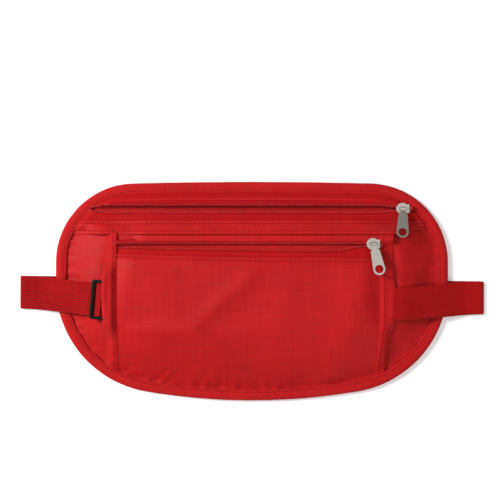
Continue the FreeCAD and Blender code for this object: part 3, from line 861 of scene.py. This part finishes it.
def tape(zipper, side, rings, rests_on, shift):
    """One side's knitted tape."""
    piece = cloth_piece(zipper + "_zip_tape_" + side, rings, "zip_tape", "zipper_tape",
                        zipper + "_tape_" + side, "stretched", rests_on)
    closes(piece, shift)


class MakeMainZip(bpy.types.Operator):
    """Makes the tapes and coils of the main zipper"""

    bl_idname = "money_belt.main_zip"
    bl_label = "Main zipper"

    def execute(self, context):
        outline = Outline()
        band_top = corners("facing_band")[1].y
        tape_z = top_of("main_tape_upper")
        left = -outline.half + 15.0
        columns = columns_between(left, -left, 1.6)
        lower, upper = main_lines(columns)

        def low_tape(x, y):
            share = ease((y - band_top + 1.0) / 6.0)
            under = lip_height(x, 9.2, BAND_RUN) - 0.5
            over = lip_height(x, 6.9, TAPE_RUN)
            below_band = 0.8 * (1 - ease((outline.inset(x, y) - 6) / 6)) * (y < band_top)
            return settled(outline, x, y, under + (over - under) * share) - below_band

        def up_tape(x, y):
            return settled(outline, x, y, tape_z - 0.5 * np.maximum(0.0, y - 61.5))

        highest = outline.span(columns, 4.0)[1]
        tucked = np.full(len(columns), band_top - 4.8)
        rings = cloth_rings(columns, tucked, np.minimum(lower - 0.4, highest), 10, low_tape, 0.5)
        tape("main", "lower", rings, "facing_band_cloth", MAIN_CLOSING)
        inside = outline.inset(columns, upper) > 4.2
        tucked = np.minimum(upper + 10.4, highest + 0.6)[inside]
        rings = cloth_rings(columns[inside], upper[inside] + 0.4, tucked, 8, up_tape, 0.5)
        tape("main", "upper", rings, "top_panel_cloth", -MAIN_CLOSING)
        run = np.arange(left + 0.5, corners("main_slider")[0].x - 0.2, 0.8)
        lower, upper = main_lines(run)
        for side, y, surface, shift in (("lower", lower, low_tape, MAIN_CLOSING),
                                        ("upper", upper, up_tape, -MAIN_CLOSING)):
            seen = outline.inset(run, y) > 5.5
            coil("main", side, line_on(surface, run[seen], y[seen], 0.1), shift)
        return {"FINISHED"}


class MakePocket(bpy.types.Operator):
    """Makes the front pocket's cloth, hem, tapes and coils"""

    bl_idname = "money_belt.pocket"
    bl_label = "Front pocket"

    def execute(self, context):
        outline = Outline()
        cell = size("cloth_cell")
        low, high = corners("pocket_panel")
        columns = columns_between(low.x - 0.6, high.x + 0.6, cell)
        lip, upper = pocket_lines(columns)

        def panel(x, y):
            edge_y = pocket_edge(x)
            edge = 0.5 * ridge(y - edge_y + 0.6, 0.6)
            tuck = 0.45 * ridge(y - edge_y + 2.3, 0.6)
            drop = 1.6 * ease((y - edge_y + 9) / 9)
            inside = ease(np.minimum(x - columns[0], columns[-1] - x) / 14)
            return pocket_height(outline, x, y) - drop * inside + edge - tuck

        lows = outline.span(columns, size("edge_hidden"))[0]
        rings = cloth_rings(columns, lows, pocket_edge(columns), int(200 / cell), panel, size("cloth"))
        cloth_piece("pocket_cloth", rings, "cloth", "ripstop_cloth", "pocket_panel", "stretched",
                    "edge_binding_tape", "pocket_binding_left_tape")

        def low_tape(x, y):
            edge_y = pocket_edge(x)
            return panel(x, np.minimum(y, edge_y - 1.2)) - 0.75 - 0.1 * np.maximum(0.0, y - edge_y)

        rings = cloth_rings(columns, pocket_edge(columns) - 6.4, lip - 0.4, 12, low_tape, 0.5)
        tape("pocket", "lower", rings, "pocket_cloth", POCKET_CLOSING)

        seam = corners("pocket_top_hem")[0].y

        def up_tape(x, y):
            tucked = (1.4 + left_sink(x)) * ease((y - seam + 4) / 6) + 0.7 * np.maximum(0.0, y - seam - 3)
            return top_of("pocket_tape_upper") - tucked

        rings = cloth_rings(columns, upper + 0.4, upper * 0 + seam + 7.4, 8, up_tape, 0.5)
        tape("pocket", "upper", rings, "pocket_hem_cloth", POCKET_UPPER_CLOSING)

        hem_columns = columns_between(low.x - 1.0, high.x + 1.0, cell)
        hem_base, hem_top = seam - 2.6, seam + 3.2

        def hem(x, y):
            share = (y - hem_base) / (hem_top - hem_base)
            crown = top_of("pocket_top_hem") - 0.5 * ease(share) - 0.75 * np.maximum(0.0, y - hem_top)
            return crown - left_sink(x) + 0.3 * ridge(y - hem_base - 0.6, 0.6) + 0.06 * ripples(x, y, 2.2)

        level = hem_columns * 0
        rings = cloth_rings(hem_columns, level + hem_base, level + hem_top + 4.8, 16, hem, 0.6)
        cloth_piece("pocket_hem_cloth", rings, "cloth", "ripstop_cloth", "pocket_top_hem", "folded",
                    "facing_band_cloth")

        run = np.arange(low.x + 1.2, corners("pocket_slider")[0].x - 0.2, 0.8)
        lower, higher = pocket_lines(run)
        coil("pocket", "lower", line_on(low_tape, run, lower, 0.1), POCKET_CLOSING)
        coil("pocket", "upper", line_on(up_tape, run, higher, 0.1), POCKET_UPPER_CLOSING)
        run = columns[2:-2]
        stitches("pocket_stitches", [line_on(panel, run, pocket_edge(run) - 2.3, 0.2)])
        return {"FINISHED"}


def binding_section(width):
    """Section of the edge binding as (inset, z): its outside, then back along its inside."""
    outside = [(width + 0.15, 3.2), (width - 0.15, 3.85), (width - 0.8, 3.98), (width - 1.45, 3.72),
               (width - 2.2, 4.0), (width - 3.4, 4.12), (width - 4.9, 4.02), (width - 6.1, 3.7),
               (0.35, 3.2), (0.0, 2.4), (0.05, 1.6), (0.5, 0.8), (1.3, 0.3), (3.0, 0.06), (5.0, 0.1),
               (width - 0.6, 0.2), (width, 0.55)]
    inside = [(width, 1.2), (width - 1.0, 1.42), (4.0, 1.42), (2.0, 1.5), (1.2, 2.2), (2.0, 2.95),
              (4.0, 3.05), (width - 1.0, 3.05), (width, 3.0)]
    return outside + inside


class MakeBindings(bpy.types.Operator):
    """Makes the binding round the pouch and the two bindings beside the pocket"""

    bl_idname = "money_belt.bindings"
    bl_label = "Bindings"

    def edge(self, outline):
        """The binding round the pouch, lifted where the straps pass below it. Returns its stitch line."""
        count = 900
        points, normals, whole = outline.loop(count)
        width = size("binding_width")
        run = np.arange(count) / count * whole
        wobble = 0.22 * np.sin(run / 3.1 + 1.5 * np.sin(run / 11)) + 0.18 * np.sin(run / 7.3)
        off_lane = np.abs(points[:, 1] - np.array([lane_y(x) for x in points[:, 0]])) - 12.0
        off_lane = np.where(np.abs(points[:, 0]) > outline.half - 25, off_lane, 50.0)
        lift = 1.46 * (1 - ease(off_lane / 4.0))
        rings = []
        for point, normal, wave, raised in zip(points, normals, wobble, lift):
            ring = []
            for inset, z in binding_section(width):
                if z > 3.0:
                    z += 0.16 * wave
                if z < 1.5:
                    z = raised + z * (1.5 - raised) / 1.5
                shift = 0.8 * wave if inset > width - 1.0 and z > 3.0 else 0.12 * wave * (inset < 1.0)
                x, y = point - normal * (inset + shift)
                ring.append((x, y, z))
            rings.append(ring)
        finish_object("edge_binding_tape", loft("edge_binding_tape", rings, closed=True),
                      "binding", "pouch", ["edge_binding"])
        line = points - normals * (width - 1.45)
        line = np.concatenate([line, np.full((count, 1), 3.84)], axis=1)
        return np.concatenate([line, line[:1]])

    def side(self, outline, way):
        """One binding beside the pocket; the left one arches over the adjuster. Returns its stitch line."""
        low, high = corners("pocket_panel")
        hem_low, hem_high = corners("pocket_top_hem")
        hem_edge = hem_low.y - 3.0
        y = np.arange(hem_high.y + 0.2, -72.0, -1.1)
        middle = ridge(y + 4, 30)
        foot = ease((-y - 18) / 45)
        if way < 0:
            inner_x = low.x + 2.2 + 0.4 * foot
            outer_x = low.x - 4.8 - 2.9 * middle - 1.2 * foot
            hump, hump_centre, hump_half = 6.0, -5.4, 15.5
        else:
            inner_x = high.x - 2.2 - 2.4 * foot + 0.4 * middle
            outer_x = high.x + 6.9 + 1.4 * middle - 4.0 * foot
            hump, hump_centre, hump_half = 1.5, -7.9, 11.4
        share = np.linspace(0.0, 1.0, 15)
        x = inner_x[:, None] + (outer_x - inner_x)[:, None] * share[None]
        yy = np.broadcast_to(y[:, None], x.shape)
        under = front_height(outline, x, yy)
        past_side = np.maximum(low.x - x, x - high.x)
        pocket_side = pocket_height(outline, np.clip(x, low.x, high.x), yy)
        under = under + np.maximum(pocket_side - under, 0.0) * (1 - ease(past_side / 5.0))
        hem_level = top_of("pocket_top_hem") - left_sink(x)
        under = np.where(yy > hem_edge, np.maximum(under, hem_level), under)
        crown = 0.8 * np.clip(5 * share * (1 - share), 0.0, 1.0)
        crown = crown[None] * (1 - 0.7 * ease((yy - hem_edge) / 3))
        dip = 0.22 * ridge(share - 0.30, 0.055)
        over = hump * (1 - ease((np.abs(yy - hump_centre) - hump_half) / 12.0))
        over = over * soft_slope(share[None] / 0.8)
        z = under + 0.15 + crown - dip[None] + over + 0.1 * ripples(x, yy, 6.1)
        inset = outline.inset(x, yy)
        z = np.where(inset < 8.5, np.minimum(z, 3.95 + 0.6 * ease((inset - 6) / 2.5)), z)
        top = np.stack([x, yy, z], -1)[inset[:, 7] > 4.5]
        bottom = top - (0.0, 0.0, 0.9)
        node = "pocket_binding_left" if way < 0 else "pocket_binding_right"
        mesh = loft(node + "_tape", np.concatenate([top, bottom[:, ::-1]], axis=1))
        finish_object(node + "_tape", mesh, "binding", "pouch", [node])
        return top[:-2, 4] + (0.0, 0.0, 0.16)

    def execute(self, context):
        outline = Outline()
        stitches("binding_stitches", [self.edge(outline), self.side(outline, -1), self.side(outline, 1)])
        return {"FINISHED"}


def ribbed_section(width, thickness, ribs, depth):
    """Section of a band: both faces ribbed lengthwise, edges rounded."""
    count = ribs * 4 + 1 if ribs else 13
    across = np.linspace(-width / 2, width / 2, count)
    edge = np.clip((width / 2 - np.abs(across)) / 0.8, 0.0, 1.0) ** 0.5
    rib = depth * np.abs(np.sin(np.linspace(0.0, math.pi * ribs, count))) if ribs else 0.0
    half = (thickness / 2 - depth + rib) * (0.35 + 0.65 * edge)
    top = np.stack([across, half], 1)
    return np.concatenate([top, top[::-1] * (1, -1)])


BACK_STRAP_Z = 0.6  # middle of a strap behind the pouch


class MakeStraps(bpy.types.Operator):
    """Makes the two straps, folded behind the pouch, with their loops round the buckle's bars"""

    bl_idname = "money_belt.straps"
    bl_label = "Straps"

    def path(self, side, root_x, root_y):
        """Middle line of one strap, from the pocket's side to its loop round the buckle's bar."""
        word = "left" if side < 0 else "right"
        reach = corners("strap_right_front")[1].x
        top = top_of("front_panel") + 0.75
        fold = fold_y("strap_" + word + "_front")
        front = [(side * x, root_y, top) for x in (root_x, 99.5)]
        slope = [(107, 10.95), (131, 4.95), (141, 2.1), (146, 1.95), (reach - 1.6, 1.95),
                 (reach - 0.4, 1.75), (reach - 0.4, 0.85), (reach - 1.6, BACK_STRAP_Z)]
        for x, z in slope:
            y = root_y + (fold - root_y) * ease((x - 97) / (reach - 97))
            front.append((side * x, float(y), z))
        loop_low, loop_high = corners("strap_" + word + "_end_loop")
        far, near = sorted((loop_low.x + 0.8, loop_high.x - 0.8), key=lambda x: -side * x)
        step = -side
        back = [(far + side * 30, BACK_STRAP_Z), (far + side * 3, BACK_STRAP_Z), (near + step * 0.2, 0.62),
                (near + step * 0.95, 1.3), (near + step * 0.95, 3.4), (near + step * 0.2, 4.15),
                (far - step * 0.2, 4.15), (far - step * 0.95, 3.4), (far - step * 1.3, 1.8)]
        start_x = side * (reach - 30)
        middle = [(start_x + (back[0][0] - start_x) * k / 6, BACK_STRAP_Z) for k in range(6)]
        line = front + [(x, lane_y(x), z) for x, z in middle + back]
        return evenly(smoothed(line, 3), 1.3)

    def band(self, name, line, section):
        side = np.tile((0.0, 1.0, 0.0), (len(line), 1))
        return loft(name, ribbon_rings(line, side, section))

    def execute(self, context):
        width, thick, ribs = size("strap_width"), size("strap_thickness"), sizes().rib_count
        line = self.path(-1, 93.0, middle_y("tri_glide"))
        section = ribbed_section(width, thick, ribs, 0.3)
        mesh = self.band("strap_left_elastic", line, section)
        # Painted shade: points low between the ribs get a share that darkens the strap's colour there.
        low_points = 1 - np.abs(np.sin(np.linspace(0.0, math.pi * ribs, len(section) // 2)))
        around = np.concatenate([low_points, low_points[::-1]]) ** 1.5
        groove_shade = mesh.attributes.new("groove_shade", "FLOAT", "POINT")
        groove_shade.data.foreach_set("value", np.tile(around, len(line)).astype(np.float32))
        finish_object("strap_left_elastic", mesh, "elastic", "pouch",
                      ["strap_left_front", "strap_left_back", "strap_left_end_loop"])
        line = self.path(1, 91.0, corners("strap_right_front")[0].y + width / 2)
        mesh = self.band("strap_right_webbing", line, ribbed_section(width, thick, 0, 0.0))
        piece = finish_object("strap_right_webbing", mesh, "webbing", None,
                              ["strap_right_front", "strap_right_back", "strap_right_end_loop"])
        lane_y(88) * MM
        lane_y(-52) * MM
        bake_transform(piece)
        return {"FINISHED"}


class MakeFittings(bpy.types.Operator):
    """Makes the sliders, pull tabs, adjuster and buckle"""

    bl_idname = "money_belt.fittings"
    bl_label = "Fittings"

    def execute(self, context):
        for name in ("main", "pocket"):
            slider, pull = name + "_slider", name + "_pull"
            softened(slider, slider + "_body", "nickel", slider, 0.0003)
            softened(slider + "_lug", slider + "_bridge", "nickel", slider, 0.0002)
            softened(pull + "_tab", pull + "_plate", "nickel", pull, 0.00022)
        softened("tri_glide", "adjuster_frame", "plastic", "adjuster", 0.0005)
        softened("buckle_female", "buckle_housing", "plastic", "pouch", 0.0004)
        softened("buckle_male", "buckle_plug", "plastic", "buckle_male", 0.0004)
        for way in ("upper", "lower"):
            softened("buckle_prong_" + way, "buckle_arm_" + way, "plastic", "prong_" + way,
                     0.0003)
        for name in ("main_zip_stops", "pocket_zip_stops"):
            softened(name, name + "_nylon", "coil", "pouch", 0.0002)
        softened("tri_glide_loop", "adjuster_loop", "elastic", "adjuster", 0.0003)
        return {"FINISHED"}


class MakeStage(bpy.types.Operator):
    """Makes the floor, the lights and the camera"""

    bl_idname = "money_belt.stage"
    bl_label = "Stage"

    def execute(self, context):
        mesh = bpy.data.meshes.new("floor")
        reach, level = 6.0, -0.0002
        square = [(-reach, -reach), (reach, -reach), (reach, reach), (-reach, reach)]
        mesh.from_pydata([(x, y, level) for x, y in square], [], [(0, 1, 2, 3)])
        floor = bpy.data.objects.new("floor", mesh)
        context.scene.collection.objects.link(floor)
        finish = Finish("floor_paint", colours().floor, 0.9)
        finish.paint({"Emission Color": (1.0, 1.0, 1.0, 1.0), "Emission Strength": 0.22})
        mesh.materials.append(finish.material)
        for name, place, width, power in (
            ("key_light", (-1.05, 0.42, 0.95), 0.42, 22.0),
            ("fill_light", (0.6, -1.0, 1.3), 1.2, 6.5),
            ("top_light", (0.0, 0.1, 1.9), 1.6, 6.0),
        ):
            data = bpy.data.lights.new(name, "AREA")
            data.shape = "SQUARE"
            data.size = width
            data.energy = power
            lamp = bpy.data.objects.new(name, data)
            lamp.location = place
            lamp.rotation_euler = (-Vector(place)).to_track_quat("-Z", "Y").to_euler()
            context.scene.collection.objects.link(lamp)
        world = bpy.data.worlds.new("studio")
        world.use_nodes = True
        sky = world.node_tree.nodes["Background"]
        feed(world.node_tree, sky, {"Color": (1.0, 1.0, 1.0, 1.0), "Strength": 0.19})
        context.scene.world = world
        context.scene.view_settings.view_transform = "Standard"
        data = bpy.data.cameras.new("camera")
        data.lens = 103.4
        data.clip_start = 0.05
        camera = bpy.data.objects.new("camera", data)
        camera.location = (-0.0013, 0.0275, 0.962)
        context.scene.collection.objects.link(camera)
        context.scene.camera = camera
        return {"FINISHED"}


MAKERS = (MakeFinishes, MakeStage, MakeBindings, MakePouchFront, MakePocket, MakeMainZip, MakeBackPanel,
          MakeStraps, MakeFittings)


class BeltPanel(bpy.types.Panel):
    """Sidebar panel that makes each part of the belt"""

    bl_idname = "VIEW3D_PT_money_belt"
    bl_label = "Money belt"
    bl_space_type = "VIEW_3D"
    bl_region_type = "UI"
    bl_category = "Money belt"

    def draw(self, context):
        for maker in MAKERS:
            self.layout.operator(maker.bl_idname)
        for group in (context.scene.belt_sizes, context.scene.belt_colours):
            box = self.layout.box()
            for name in group.__annotations__:
                box.prop(group, name)


CLASSES = (BeltSizes, BeltColours, *MAKERS, BeltPanel)


def register():
    for kind in CLASSES:
        bpy.utils.register_class(kind)
    bpy.types.Scene.belt_sizes = PointerProperty(type=BeltSizes)
    bpy.types.Scene.belt_colours = PointerProperty(type=BeltColours)


def unregister():
    del bpy.types.Scene.belt_sizes
    del bpy.types.Scene.belt_colours
    for kind in reversed(CLASSES):
        bpy.utils.unregister_class(kind)


def main():
    register()
    for maker in MAKERS:
        group, name = maker.bl_idname.split(".")
        getattr(getattr(bpy.ops, group), name)()


if __name__ == "__main__":
    main()
